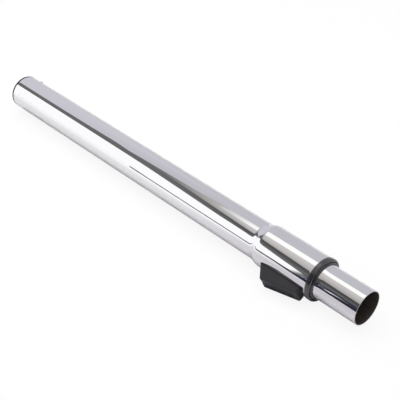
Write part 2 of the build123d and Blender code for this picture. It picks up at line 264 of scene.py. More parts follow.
@dataclass(frozen=True)
class DrawnBore(Finish):
    """Unplated bore of a drawn tube: dull dark steel with long drawing lines."""

    # The film of oxide and grease on the steel hides part of its metal look
    metallic: float = 0.6
    # Drawing lines are about 0.1 mm wide in life, too fine to show, so they are drawn wider
    grain_mm: float = 0.6
    grain_length_mm: float | None = 90.0
    grain_depth_mm: float = 0.02
    grain_strength: float = 0.4
    grain_detail: float = 3.0
    stain: str = "#3b3531"

    def dress(self, surface: Surface) -> None:
        """Adds a brownish stain along the drawing lines.

        Args:
            surface: The surface in the making.
        """
        tree, grain = surface.tree, surface.grain
        colours = {"i6": srgb(self.colour), "i7": srgb(self.stain)}
        tint = add_node(tree, "ShaderNodeMix", {"data_type": "RGBA"}, i0=grain, **colours)
        surface.feed("Base Color", tint.outputs[2])


@dataclass(frozen=True)
class MouldedPlastic(Finish):
    """Injection-moulded plastic with the fine spark grain of its mould."""

    # Spark grain is about 0.05 mm in life, too fine to show, so it is drawn coarser
    grain_mm: float = 0.25
    grain_depth_mm: float = 0.012
    grain_detail: float = 3.0
    ior: float = 1.53
    patch_mm: float = 7.0
    patch_noise: tuple[float, float] = (0.3, 0.75)
    patch_gloss: tuple[float, float] = (-0.04, 0.05)
    worn: str = "#37373c"
    worn_share: float = 0.2
    shine: float = 0.5
    skin: float = 0.0
    skin_roughness: float = 0.2

    def dress(self, surface: Surface) -> None:
        """Adds a faint unevenness of colour and of gloss, and the skin of a polished mould.

        Args:
            surface: The surface in the making.
        """
        tree, place, inputs = surface.tree, surface.place, surface.shader.inputs
        inputs["IOR"].default_value = self.ior
        inputs["Specular IOR Level"].default_value = self.shine
        inputs["Coat Weight"].default_value = self.skin
        inputs["Coat Roughness"].default_value = self.skin_roughness
        scale = 1 / (self.patch_mm * MM)
        patches = add_node(tree, "ShaderNodeTexNoise", Vector=place, Scale=scale, Detail=4.0)
        values = span(self.patch_noise, (0.0, self.worn_share))
        share = add_node(tree, "ShaderNodeMapRange", Value=patches.outputs[0], **values)
        colours = {"i6": srgb(self.colour), "i7": srgb(self.worn)}
        tint = add_node(
            tree, "ShaderNodeMix", {"data_type": "RGBA"}, i0=share.outputs[0], **colours
        )
        surface.feed("Base Color", tint.outputs[2])
        low, high = self.patch_gloss
        values = span(self.patch_noise, (self.roughness + low, self.roughness + high))
        rough = add_node(tree, "ShaderNodeMapRange", Value=patches.outputs[0], **values)
        surface.feed("Roughness", rough.outputs[0])


@dataclass(frozen=True)
class CapWithPaintedFootShadow(MouldedPlastic):
    """Cap moulded in plastic, with a painted contact shadow: its colour turns near black where its
    foot closes on the chromed sleeve.
    """

    sleeve_radius: float = 21.45
    # Painted shadow along the foot: darkest up to the first height above the sleeve, gone at the
    # second
    painted_shadow_core_mm: float = 0.33
    painted_shadow_reach_mm: float = 1.1
    painted_shadow_share: float = 0.12

    def dress(self, surface: Surface) -> None:
        """Adds what the plastic has, and a painted shadow: a dark line along the foot, where the
        cap meets the sleeve.

        Args:
            surface: The surface in the making.
        """
        super().dress(surface)
        tree, place, colour = surface.tree, surface.place, surface.shader.inputs["Base Color"]
        from_axis = add_node(
            tree, "ShaderNodeVectorMath", {"operation": "MULTIPLY"}, i0=place, i1=(0.0, 1.0, 1.0)
        )
        radius = add_node(
            tree, "ShaderNodeVectorMath", {"operation": "LENGTH"}, i0=from_axis.outputs[0]
        )
        # Painted contact shadow: the colour is scaled down to near black close to the sleeve's
        # surface and clears a little above it
        dark, clear = self.sleeve_radius + self.painted_shadow_core_mm, self.sleeve_radius + self.painted_shadow_reach_mm
        rise = add_node(
            tree,
            "ShaderNodeMapRange",
            {"interpolation_type": "SMOOTHSTEP"},
            Value=radius.outputs["Value"],
            **span((dark * MM, clear * MM), (self.painted_shadow_share, 1.0)),
        )
        shade = add_node(
            tree,
            "ShaderNodeVectorMath",
            {"operation": "SCALE"},
            i0=colour.links[0].from_socket,
            Scale=rise.outputs[0],
        )
        surface.feed("Base Color", shade.outputs[0])


# Nickel and chrome plate on a polished tube: it has no colour of its own, only a cold
# tint, so the eye sees the studio in it, with edges kept sharp and lights a little soft
CHROME = ChromePlate("bright_chrome_plate", "#f0f0f3", 0.04)
# Bare steel as it left the drawing die: the mouth looks black-brown, with a dull shine
BORE = DrawnBore("drawn_steel_bore", "#7a736e", 0.50)
# Spark-eroded ABS: charcoal and satin, with broad soft lights on the cheeks, and a painted shadow
# that turns its foot near black along the sleeve
CAP_ABS_WITH_PAINTED_SHADOW = CapWithPaintedFootShadow("moulded_abs_cap_painted_foot_shadow", "#1f1e25", 0.45)
# Polished polypropylene: black, with the bright skin of a polished mould, so that pale
# lights follow the round of the ring
COLLAR_PP = MouldedPlastic(
    "moulded_polypropylene_collar",
    "#1d1d22",
    0.18,
    grain_depth_mm=0.002,
    worn="#26262b",
    shine=1.0,
    skin=0.4,
)
# Textured polypropylene: a matt black line that closes off the bright tube
LINER_PP = MouldedPlastic(
    "moulded_polypropylene_liner", "#0e0e10", 0.62, worn="#161618", shine=0.2
)
# Natural acetal: milky white and waxy, seen only through the slot or in an open view
GUIDE_ACETAL = MouldedPlastic("moulded_acetal_guide", "#dcdcd6", 0.45, worn="#cfcfc8")
# Polypropylene tinted grey, with a satin face
BUSH_PP = MouldedPlastic("moulded_polypropylene_bush", "#5a5a5e", 0.45, worn="#4e4e52")
# Soft-touch elastomer: a shade paler and duller than the cap that it is let into
GRIP_RUBBER = MouldedPlastic(
    "moulded_elastomer_grip", "#2b2b31", 0.5, grain_mm=0.35, worn="#38383f"
)
# Nitrile rubber from a smooth mould: black, with a soft narrow light on the lip
SEAL_RUBBER = MouldedPlastic(
    "moulded_seal_rubber", "#242428", 0.22, grain_depth_mm=0.002, worn="#2e2e32", shine=0.8
)
# Wool felt cut from sheet: warm grey, with a short soft nap and no shine at all. Its
# fibres are about 0.03 mm in life, too fine to show, so the nap is drawn coarser
FELT = Finish(
    "pressed_wool_felt",
    "#a5a196",
    0.95,
    sheen=0.4,
    grain_mm=0.35,
    grain_depth_mm=0.15,
    grain_strength=0.9,
    grain_detail=5.0,
)
# Bright zinc on drawn or pressed steel: pale grey, with a satin shine. The lines of its
# plating are about 0.02 mm in life, too fine to show, so they are drawn coarser
LOCK_STEEL = Finish("zinc_plated_steel", "#b9bbbe", 0.28, metallic=1.0, grain_mm=0.2)


def ring_faces(rings: int, columns: int, closed: bool) -> list[tuple[int, ...]]:
    """Faces that join each ring of points to the next one.

    Args:
        rings: The number of rings.
        columns: The number of points in each ring.
        closed: True if the last ring is joined to the first one.

    Returns:
        The four points of each face.
    """
    faces: list[tuple[int, ...]] = []
    for i in range(rings if closed else rings - 1):
        ring, after = i * columns, (i + 1) % rings * columns
        for j in range(columns):
            k = (j + 1) % columns
            faces.append((ring + j, ring + k, after + k, after + j))
    return faces


def smooth(mesh: Mesh, sharp_edge: float) -> None:
    """Shades a mesh smooth, apart from its sharp edges.

    Args:
        mesh: The mesh, which is changed.
        sharp_edge: The angle in radians from which an edge is sharp.
    """
    mesh.polygons.foreach_set("use_smooth", [True] * len(mesh.polygons))
    mesh.validate()
    mesh.set_sharp_from_angle(angle=sharp_edge)
    mesh.update()


@dataclass(frozen=True)
class Station:
    """One ring of a turned wall: its place along X, its radius and its face."""

    x: float
    radius: float
    side: Side = Side.RIM


@dataclass
class TurnedWall:
    """A wall of revolution about X, given by its closed section."""

    name: str
    stations: Sequence[Station]
    relief: Callable[[Station, np.ndarray], np.ndarray] | None = None
    columns: int = 192
    sharp_edge: float = 32 * pi / 180

    def build(self, outside: Finish, bore: Finish) -> Object:
        """Makes the mesh object.

        Args:
            outside: The finish of the outside and of the rims.
            bore: The finish of the bore.

        Returns:
            The new object, in the scene's collection.
        """
        angles = np.arange(self.columns) * 2 * pi / self.columns
        rings, in_bore = [], []
        for station in self.stations:
            x, radius = np.full_like(angles, station.x), np.full_like(angles, station.radius)
            if self.relief:
                radius = self.relief(station, angles)
            ring = [x, -radius * np.cos(angles), radius * np.sin(angles)]
            rings.append(np.stack(ring, axis=-1) * MM)
            in_bore.append(station.side is Side.BORE)
        both = [int(a and b) for a, b in zip(in_bore, [*in_bore[1:], in_bore[0]])]
        mesh = bpy.data.meshes.new(self.name)
        faces = ring_faces(len(rings), self.columns, closed=True)
        mesh.from_pydata(np.concatenate(rings).tolist(), [], faces)
        mesh.materials.append(outside.material())
        mesh.materials.append(bore.material())
        mesh.polygons.foreach_set("material_index", np.repeat(both, self.columns).tolist())
        smooth(mesh, self.sharp_edge)
        return put_in_scene(self.name, mesh)


def spread(start: float, end: float, steps: int) -> list[float]:
    """Evenly spaced places from start to end, both included, one more than the steps."""
    return [start + (end - start) * i / steps for i in range(steps + 1)]


def rounded_rim(
    x: float,
    radii: tuple[float, float],
    edges: tuple[float, float],
    forwards: bool,
    inner_side: Side = Side.RIM,
) -> list[Station]:
    """Stations of a wall's rim, with a small quarter round on both its edges.

    Args:
        x: The plane of the rim.
        radii: The radii of the wall's outside and of its bore.
        edges: The radii of the outer and of the inner round.
        forwards: True for a rim at the far end of X, False for one at the near end.
        inner_side: The face that the inner round belongs to.

    Returns:
        The stations, in order from the outside to the bore.
    """
    along = -1.0 if forwards else 1.0
    (outer, inner), (outer_edge, inner_edge) = radii, edges
    outside, inside = [], []
    for turn in spread(0.0, pi / 2, steps=4):
        back, deep = along * (1 - sin(turn)), 1 - cos(turn)
        outside.append(Station(x + outer_edge * back, outer - outer_edge * deep))
        inside.append(Station(x + inner_edge * back, inner + inner_edge * deep, inner_side))
    return [*outside, *reversed(inside)]


def slider_angle() -> float:
    """Angle round the axis at which the slider stands, from the axis of its roller's lift.

    Returns:
        The angle in radians, from -Y towards +Z.
    """
    lift = next(joint for joint in frame["joints"] if joint["name"] == "roller_lift")
    _, y, z = lift["axis"]
    return float(np.arctan2(z, -y))


@dataclass
class OuterTube:
    """The barrel, its swage and the sleeve, in one chromed wall."""

    wall: float = 0.8
    edge: float = 0.25
    swage_start: float = 386.9
    swage_end: float = 398.4
    swage_rise: float = 2.45
    swage_margin: float = 4.0
    barrel_radius: float = 19.0
    nub_station: float = 9.3
    nub_radius: float = 3.0
    nub_height: float = 2.0
    nub_soft: float = 0.35
    nub_span: float = 4.5
    nub_margin: float = 8.0
    lip_room: float = 1.0
    rim_margin: float = 1.5
    slot_start: float = 410.4
    slot_end: float = 450.4
    slot_half: float = 5.6
    slot_floor: float = 15.0
    slot_top: float = 27.0

    def radius_at(self, x: float) -> float:
        """Radius of the outside, with the S-curve of the swage.

        Args:
            x: The place along the wand.

        Returns:
            The radius there.
        """
        run = self.swage_end - self.swage_start
        along = min(max(x - self.swage_start, 0.0), run)
        arc = (run**2 + self.swage_rise**2) / (4 * self.swage_rise)
        if along <= run / 2:
            rise = arc - sqrt(arc**2 - along**2)
        else:
            rise = self.swage_rise - (arc - sqrt(arc**2 - (run - along) ** 2))
        return self.barrel_radius + rise

    def relief(self, station: Station, angles: np.ndarray) -> np.ndarray:
        """Raises the pressed nub, which stands opposite the slider.

        Args:
            station: The station, with its plain radius.
            angles: The angles of the columns.

        Returns:
            The radius of each column.
        """
        plain = np.full_like(angles, station.radius)
        reach = station.x - self.nub_station
        if station.side is Side.RIM or abs(reach) > 2 * self.nub_radius:
            return plain
        dome = (self.nub_radius**2 + self.nub_height**2) / (2 * self.nub_height)
        centre = self.barrel_radius + self.nub_height - dome
        shell = dome if station.side is Side.OUTSIDE else dome - self.wall
        turn = angles - (slider_angle() + pi)
        under = shell**2 - reach**2 - (centre * np.sin(turn)) ** 2
        seen = (np.cos(turn) > 0) & (under > 0)
        ball = np.where(seen, centre * np.cos(turn) + np.sqrt(np.maximum(under, 0)), 0.0)
        gap = np.clip(0.5 + (ball - plain) / (2 * self.nub_soft), 0, 1)
        return plain * (1 - gap) + ball * gap + self.nub_soft * gap * (1 - gap)

    def stations(self) -> list[Station]:
        """Closed section of the wall, from the handle end to the sleeve's rim and back.

        Returns:
            The stations in order.
        """
        low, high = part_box("outer_tube")
        start, end = low.x / MM + self.lip_room, high.x / MM
        nub, swage = self.nub_station, self.swage_start
        places = [
            start + self.rim_margin,
            *spread(nub - self.nub_span, nub + self.nub_span, steps=24),
            *spread(nub + self.nub_margin, swage - self.swage_margin, steps=12),
            *spread(swage, self.swage_end, steps=28),
            *spread(self.swage_end + self.swage_margin, end - self.rim_margin, steps=6),
        ]
        outside = [Station(x, self.radius_at(x), Side.OUTSIDE) for x in places]
        bore = [Station(x, self.radius_at(x) - self.wall, Side.BORE) for x in reversed(places)]
        sleeve, barrel = self.radius_at(end), self.barrel_radius
        edges = (self.edge, self.edge)
        front = rounded_rim(end, (sleeve, sleeve - self.wall), edges, forwards=True)
        back = rounded_rim(start, (barrel, barrel - self.wall), edges, forwards=False)
        return [*outside, *front, *bore, *reversed(back)]

    def cut_slot(self, piece: Object) -> None:
        """Cuts the slot that the slider's rails run in.

        Args:
            piece: The wall's object, which is changed.
        """
        turn = slider_angle()
        outwards = Vector((0.0, -cos(turn), sin(turn)))
        across = Vector((0.0, sin(turn), cos(turn)))
        along = Vector((1.0, 0.0, 0.0))
        middle = (self.slot_start + self.slot_end) / 2
        half = (self.slot_end - self.slot_start) / 2
        corners = []
        for height in (self.slot_floor, self.slot_top):
            for x, width in ((-1, -1), (1, -1), (1, 1), (-1, 1)):
                corner = along * (middle + x * half) + across * (width * self.slot_half)
                corners.append((corner + outwards * height) * MM)
        faces = [(0, 3, 2, 1), (4, 5, 6, 7)]
        faces += [(0, 1, 5, 4), (1, 2, 6, 5), (2, 3, 7, 6), (3, 0, 4, 7)]
        mesh = bpy.data.meshes.new("slot_cutter")
        mesh.from_pydata(corners, [], faces)
        cutter = put_in_scene("slot_cutter", mesh)
        cut = piece.modifiers.new("slot", "BOOLEAN")
        cut.operation = "DIFFERENCE"
        cut.solver = "EXACT"
        cut.object = cutter
        bpy.context.view_layer.update()
        evaluated = piece.evaluated_get(bpy.context.evaluated_depsgraph_get())
        cleaned = bpy.data.meshes.new_from_object(evaluated)
        piece.modifiers.clear()
        piece.data = cleaned
        bpy.data.objects.remove(cutter)

    def build(self) -> list[Object]:
        """Makes the wall and puts it on its body.

        Returns:
            The pieces made.
        """
        piece = TurnedWall("outer_tube_wall", self.stations(), self.relief).build(CHROME, BORE)
        self.cut_slot(piece)
        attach(piece, "barrel")
        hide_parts("outer_tube")
        return [piece]


@dataclass
class InnerTube:
    """The sliding tube, with its tapered tip and the row of lock notches."""

    wall: float = 0.8
    edge: float = 0.25
    mouth_edge: float = 0.4
    radius: float = 17.5
    tip_radius: float = 17.15
    taper_start: float = 465.5
    taper_end: float = 469.5
    roller_station: float = 428.4
    notch_pitch: float = 28.5
    notch_count: int = 13
    notch_floor: float = 15.9
    notch_radius: float = 2.7
    notch_soft: float = 0.25
    notch_span: float = 2.9
    notch_bore_span: float = 3.6
    least_slant: float = 0.2
    # Plain wall kept beside a rim or the taper, so that its shading stays straight
    margin: float = 1.0

    def radius_at(self, x: float) -> float:
        """Radius of the outside, with the taper of the tip.

        Args:
            x: The place along the wand.

        Returns:
            The radius there.
        """
        share = (x - self.taper_start) / (self.taper_end - self.taper_start)
        share = min(max(share, 0.0), 1.0)
        return self.radius + (self.tip_radius - self.radius) * share

    def relief(self, station: Station, angles: np.ndarray) -> np.ndarray:
        """Presses the notches into the wall, on the slider's side.

        Args:
            station: The station, with its plain radius.
            angles: The angles of the columns.

        Returns:
            The radius of each column.
        """
        plain = np.full_like(angles, station.radius)
        steps = round((self.roller_station - station.x) / self.notch_pitch)
        reach = station.x - (self.roller_station - steps * self.notch_pitch)
        rod = self.notch_radius + (0 if station.side is Side.OUTSIDE else self.wall)
        on_rim = station.side is Side.RIM
        if on_rim or not 0 <= steps < self.notch_count or abs(reach) >= rod:
            return plain
        centre = self.notch_floor + self.notch_radius
        floor = centre - sqrt(rod**2 - reach**2)
        slant = np.cos(angles - slider_angle())
        pressed = floor / np.maximum(slant, self.least_slant)
        pressed = np.where(slant > self.least_slant, pressed, 2 * station.radius)
        gap = np.clip(0.5 + (pressed - plain) / (2 * self.notch_soft), 0, 1)
        return pressed * (1 - gap) + plain * gap - self.notch_soft * gap * (1 - gap)

    def stations(self) -> list[Station]:
        """Closed section of the wall, from its hidden end to the mouth and back.

        Returns:
            The stations in order.
        """
        low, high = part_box("inner_tube")
        start, end = low.x / MM, high.x / MM
        beside, reach, deep_reach = self.margin, self.notch_span, self.notch_bore_span
        outer_places, bore_places = [start + beside], [start + beside]
        for i in reversed(range(self.notch_count)):
            notch = self.roller_station - i * self.notch_pitch
            outer_places += spread(notch - reach, notch + reach, steps=14)
            bore_places += spread(notch - deep_reach, notch + deep_reach, steps=8)
        tail = [self.taper_start - beside, *spread(self.taper_start, self.taper_end, steps=4)]
        tail += [self.taper_end + beside, self.taper_end + 2 * beside]
        tail += spread(end - 5 * beside, end - beside, steps=2)
        outside = [Station(x, self.radius_at(x), Side.OUTSIDE) for x in [*outer_places, *tail]]
        places = reversed([*bore_places, *tail])
        bore = [Station(x, self.radius_at(x) - self.wall, Side.BORE) for x in places]
        radii, edges = (self.tip_radius, self.tip_radius - self.wall), (self.edge, self.mouth_edge)
        front = rounded_rim(end, radii, edges, forwards=True, inner_side=Side.BORE)
        radii, edges = (self.radius, self.radius - self.wall), (self.edge, self.edge)
        rear = rounded_rim(start, radii, edges, forwards=False)
        return [*outside, *front, *bore, *reversed(rear)]

    def build(self) -> list[Object]:
        """Makes the wall and puts it on its body.

        Returns:
            The pieces made.
        """
        piece = TurnedWall("inner_tube_wall", self.stations(), self.relief).build(CHROME, BORE)
        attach(piece, "telescope")
        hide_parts("inner_tube")
        return [piece]


@dataclass
class RimRings:
    """The collar on the sleeve's rim, and the wiper let into its front."""

    spigot_radius: float = 20.6
    bore_radius: float = 17.75
    sleeve_end: float = 459.0
    collar_radius: float = 21.9
    front_round: float = 1.7
    back_edge: float = 0.3
    seat_radius: float = 19.6
    seat_depth: float = 2.2
    groove: float = 0.3
    wiper_bore: float = 17.6
    wiper_radius: float = 19.55
    lip_wall: float = 0.9
    lip_cut: float = 0.12
    round_steps: int = 9

    def arc(self, x: float, radius: float, long: float, tall: float, cut: float) -> list[Station]:
        """Quarter of an ellipse from outwards to forwards, with a share of it cut at its start."""
        turns = spread(cut * pi / 2, pi / 2, self.round_steps)
        return [
            Station(x + long * sin(turn), radius + tall * cos(turn), Side.OUTSIDE)
            for turn in turns
        ]

    def collar(self) -> list[Station]:
        """Section of the collar: spigot, back edge, front round, and the wiper's seat.

        Returns:
            The stations in order.
        """
        low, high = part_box("collar_ring")
        start, end = low.x / MM, high.x / MM
        spigot = [
            Station(start, self.bore_radius),
            Station(start, self.spigot_radius),
            Station(self.sleeve_end, self.spigot_radius),
            Station(self.sleeve_end, self.collar_radius - self.back_edge),
            Station(self.sleeve_end + self.back_edge, self.collar_radius, Side.OUTSIDE),
        ]
        edge = self.front_round
        front = self.arc(end - edge, self.collar_radius - edge, edge, edge, 0.0)
        seat = [
            Station(end, self.seat_radius + self.groove, Side.OUTSIDE),
            Station(end - 2 * self.groove, self.seat_radius),
            Station(end - self.seat_depth, self.seat_radius),
            Station(end - self.seat_depth, self.bore_radius),
        ]
        return [*spigot, *front, *seat]

    def wiper(self) -> list[Station]:
        """Section of the wiper: a soft ring with a rounded lip.

        Returns:
            The stations in order.
        """
        low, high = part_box("wiper_seal")
        start, end = low.x / MM, high.x / MM
        shoulder = start + self.seat_depth / 2
        centre = self.wiper_bore + self.lip_wall / 2
        long, tall = end - self.groove - shoulder, self.wiper_radius - self.groove / 2 - centre
        return [
            Station(start, self.wiper_bore),
            Station(start, self.wiper_radius),
            Station(shoulder, self.wiper_radius),
            *self.arc(end - long, centre, long, tall, self.lip_cut),
            Station(end, self.wiper_bore),
        ]

    def build(self) -> list[Object]:
        """Makes both rings and puts them on the barrel.

        Returns:
            The pieces made.
        """
        made = []
        for node, section, finish, slot in (
            ("collar_ring", self.collar(), COLLAR_PP, "collar_plastic"),
            ("wiper_seal", self.wiper(), SEAL_RUBBER, "seal_rubber"),
        ):
            piece = TurnedWall(f"{node}_turned", section).build(finish, finish)
            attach(piece, "barrel")
            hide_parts(node)
            made.append(piece)
        return made


@dataclass
class SocketLiner:
    """The liner of the handle socket, with the dark lip that shows round the rim."""

    bore_radius: float = 17.55
    sleeve_radius: float = 18.15
    lip_radius: float = 18.95
    lip_end: float = 2.15
    lip_edge: float = 0.3

    def stations(self) -> list[Station]:
        """Section of the liner, from its lip to its inner end and back.

        Returns:
            The stations in order.
        """
        low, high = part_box("end_liner")
        start, end = low.x / MM, high.x / MM
        radii, edges = (self.lip_radius, self.bore_radius), (self.lip_edge, self.lip_edge)
        return [
            Station(self.lip_end, self.lip_radius),
            Station(self.lip_end, self.sleeve_radius),
            Station(end, self.sleeve_radius),
            Station(end, self.bore_radius),
            *reversed(rounded_rim(start, radii, edges, forwards=False)),
        ]

    def build(self) -> list[Object]:
        """Makes the liner and puts it in the barrel.

        Returns:
            The pieces made.
        """
        piece = TurnedWall("end_liner_turned", self.stations()).build(LINER_PP, LINER_PP)
        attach(piece, "barrel")
        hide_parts("end_liner")
        return [piece]


@dataclass
class ReturnSpring:
    """The coil spring behind the slider."""

    coil_radius: float = 1.45
    wire_radius: float = 0.25
    turns: int = 6
    steps_per_turn: int = 32
    wire_columns: int = 12
    sharp_edge: float = 60 * pi / 180
    travel: float = 3.5

    def wire(self, low: Vector, high: Vector) -> np.ndarray:
        """Sweeps the wire's round section along the coil.

        Args:
            low: The lowest corner of the spring's box.
            high: The highest corner of the spring's box.

        Returns:
            The points in metres, section by section.
        """
        first, last = low.x + self.wire_radius * MM, high.x - self.wire_radius * MM
        count = self.turns * self.steps_per_turn + 1
        turn = 2 * pi * np.arange(count) / self.steps_per_turn
        zero = np.zeros(count)
        outwards = np.stack([zero, np.cos(turn), np.sin(turn)], axis=-1)
        along = np.stack([zero, -np.sin(turn), np.cos(turn)], axis=-1)
        along *= self.coil_radius * MM * 2 * pi * self.turns
        along[:, 0] = last - first
        along /= np.linalg.norm(along, axis=1, keepdims=True)
        across = np.cross(along, outwards)
        core = outwards * self.coil_radius * MM
        core += np.array([0.0, (low.y + high.y) / 2, (low.z + high.z) / 2])
        core[:, 0] = np.linspace(first, last, count)
        angle = 2 * pi * np.arange(self.wire_columns) / self.wire_columns
        section = outwards[:, None] * np.cos(angle)[None, :, None]
        section = section + across[:, None] * np.sin(angle)[None, :, None]
        return (core[:, None] + section * self.wire_radius * MM).reshape(-1, 3)

    def build(self) -> list[Object]:
        """Makes the spring and puts it on the barrel.

        Returns:
            The pieces made.
        """
        low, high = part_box("return_spring")
        points, columns = self.wire(low, high), self.wire_columns
        faces = ring_faces(len(points) // columns, columns, closed=False)
        faces.append(tuple(reversed(range(columns))))
        faces.append(tuple(range(len(points) - columns, len(points))))
        mesh = bpy.data.meshes.new("return_spring_wire")
        mesh.from_pydata(points.tolist(), [], faces)
        mesh.materials.append(LOCK_STEEL.material())
        smooth(mesh, self.sharp_edge)
        piece = put_in_scene("return_spring_wire", mesh)
        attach(piece, "barrel")
        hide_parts("return_spring")
        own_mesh(piece)
        return [piece]


@dataclass
class MouldedPieces:
    """The pieces that keep their CAD mesh, each with its finish."""

    finishes: dict[str, Finish] = field(
        default_factory=lambda: {
            "guide_sleeve": GUIDE_ACETAL,
            "felt_ring": FELT,
            "rear_bush": BUSH_PP,
            "rear_seal": SEAL_RUBBER,
            "locking_roller": LOCK_STEEL,
            "lock_plate": LOCK_STEEL,
            "slider_carriage": GUIDE_ACETAL,
            "slider_cap": CAP_ABS_WITH_PAINTED_SHADOW,
            "slider_pad": GRIP_RUBBER,
        }
    )

    def build(self) -> list[Object]:
        """Gives each node its finish.

        Returns:
            The nodes dressed.
        """
        dressed = []
        for node, finish in self.finishes.items():
            piece = frame["nodes"][node]
            piece.material_slots[0].material = finish.material()
            dressed.append(piece)
        return dressed


class Axis(Enum):
    """Direction along which a studio panel fades."""

    X = "X"
    Y = "Y"


@dataclass(frozen=True)
class Fade:
    """A change of brightness along one axis, as factors at two places."""

    axis: Axis
    start: float
    end: float
    first: float
    last: float

    def add(self, tree: NodeTree, before: NodeSocket | float) -> NodeSocket:
        """Adds the nodes that multiply a value by this fade.

        Args:
            tree: The node tree.
            before: The value, or the socket that holds it.

        Returns:
            The socket that holds the product.
        """
        spot = add_node(tree, "ShaderNodeNewGeometry")
        parts = add_node(tree, "ShaderNodeSeparateXYZ", Vector=spot.outputs["Position"])
        factor = add_node(
            tree,
            "ShaderNodeMapRange",
            {"interpolation_type": "SMOOTHSTEP"},
            Value=parts.outputs[self.axis.value],
            **span((self.start * MM, self.end * MM), (self.first, self.last)),
        )
        product = add_node(
            tree, "ShaderNodeMath", {"operation": "MULTIPLY"}, i0=factor.outputs[0], i1=before
        )
        return product.outputs[0]


def flat_panel(name: str, corners: Sequence[tuple[float, float, float]]) -> Object:
    """Makes an object of one flat face, given by its corners in order.

    Args:
        name: The name of the object and of its mesh.
        corners: The corners.

    Returns:
        The new object, in the scene's collection.
    """
    mesh = bpy.data.meshes.new(name)
    places = [tuple(c * MM for c in corner) for corner in corners]
    mesh.from_pydata(places, [], [tuple(range(len(places)))])
    return put_in_scene(name, mesh)


@dataclass(frozen=True)
class Card:
    """A flat studio panel that only reflections show.

    The chrome throws little of it on the floor, so the floor keeps the wand's shadow.
    """

    name: str
    corners: Sequence[tuple[float, float, float]]
    level: float
    tint: str = "#ffffff"
    fades: tuple[Fade, ...] = ()
    floor_spill: float = 0.12

    def build(self) -> Object:
        """Makes the panel.

        Returns:
            The panel's object.
        """
        panel = flat_panel(self.name, self.corners)
        made = bpy.data.materials.new(self.name)
        tree = empty_tree(made)
        strength: NodeSocket | float = self.level
        for fade in self.fades:
            strength = fade.add(tree, strength)
        bounces = add_node(tree, "ShaderNodeLightPath").outputs["Diffuse Depth"]
        values = span((0.0, 1.0), (1.0, self.floor_spill))
        spill = add_node(tree, "ShaderNodeMapRange", Value=bounces, **values).outputs[0]
        shown = add_node(
            tree, "ShaderNodeMath", {"operation": "MULTIPLY"}, i0=spill, i1=strength
        ).outputs[0]
        glow = add_node(tree, "ShaderNodeEmission", Color=srgb(self.tint), Strength=shown)
        add_node(tree, "ShaderNodeOutputMaterial", Surface=glow.outputs[0])
        panel.data.materials.append(made)
        panel.visible_camera = False
        panel.visible_diffuse = False
        panel.visible_transmission = False
        panel.visible_shadow = False
        return panel


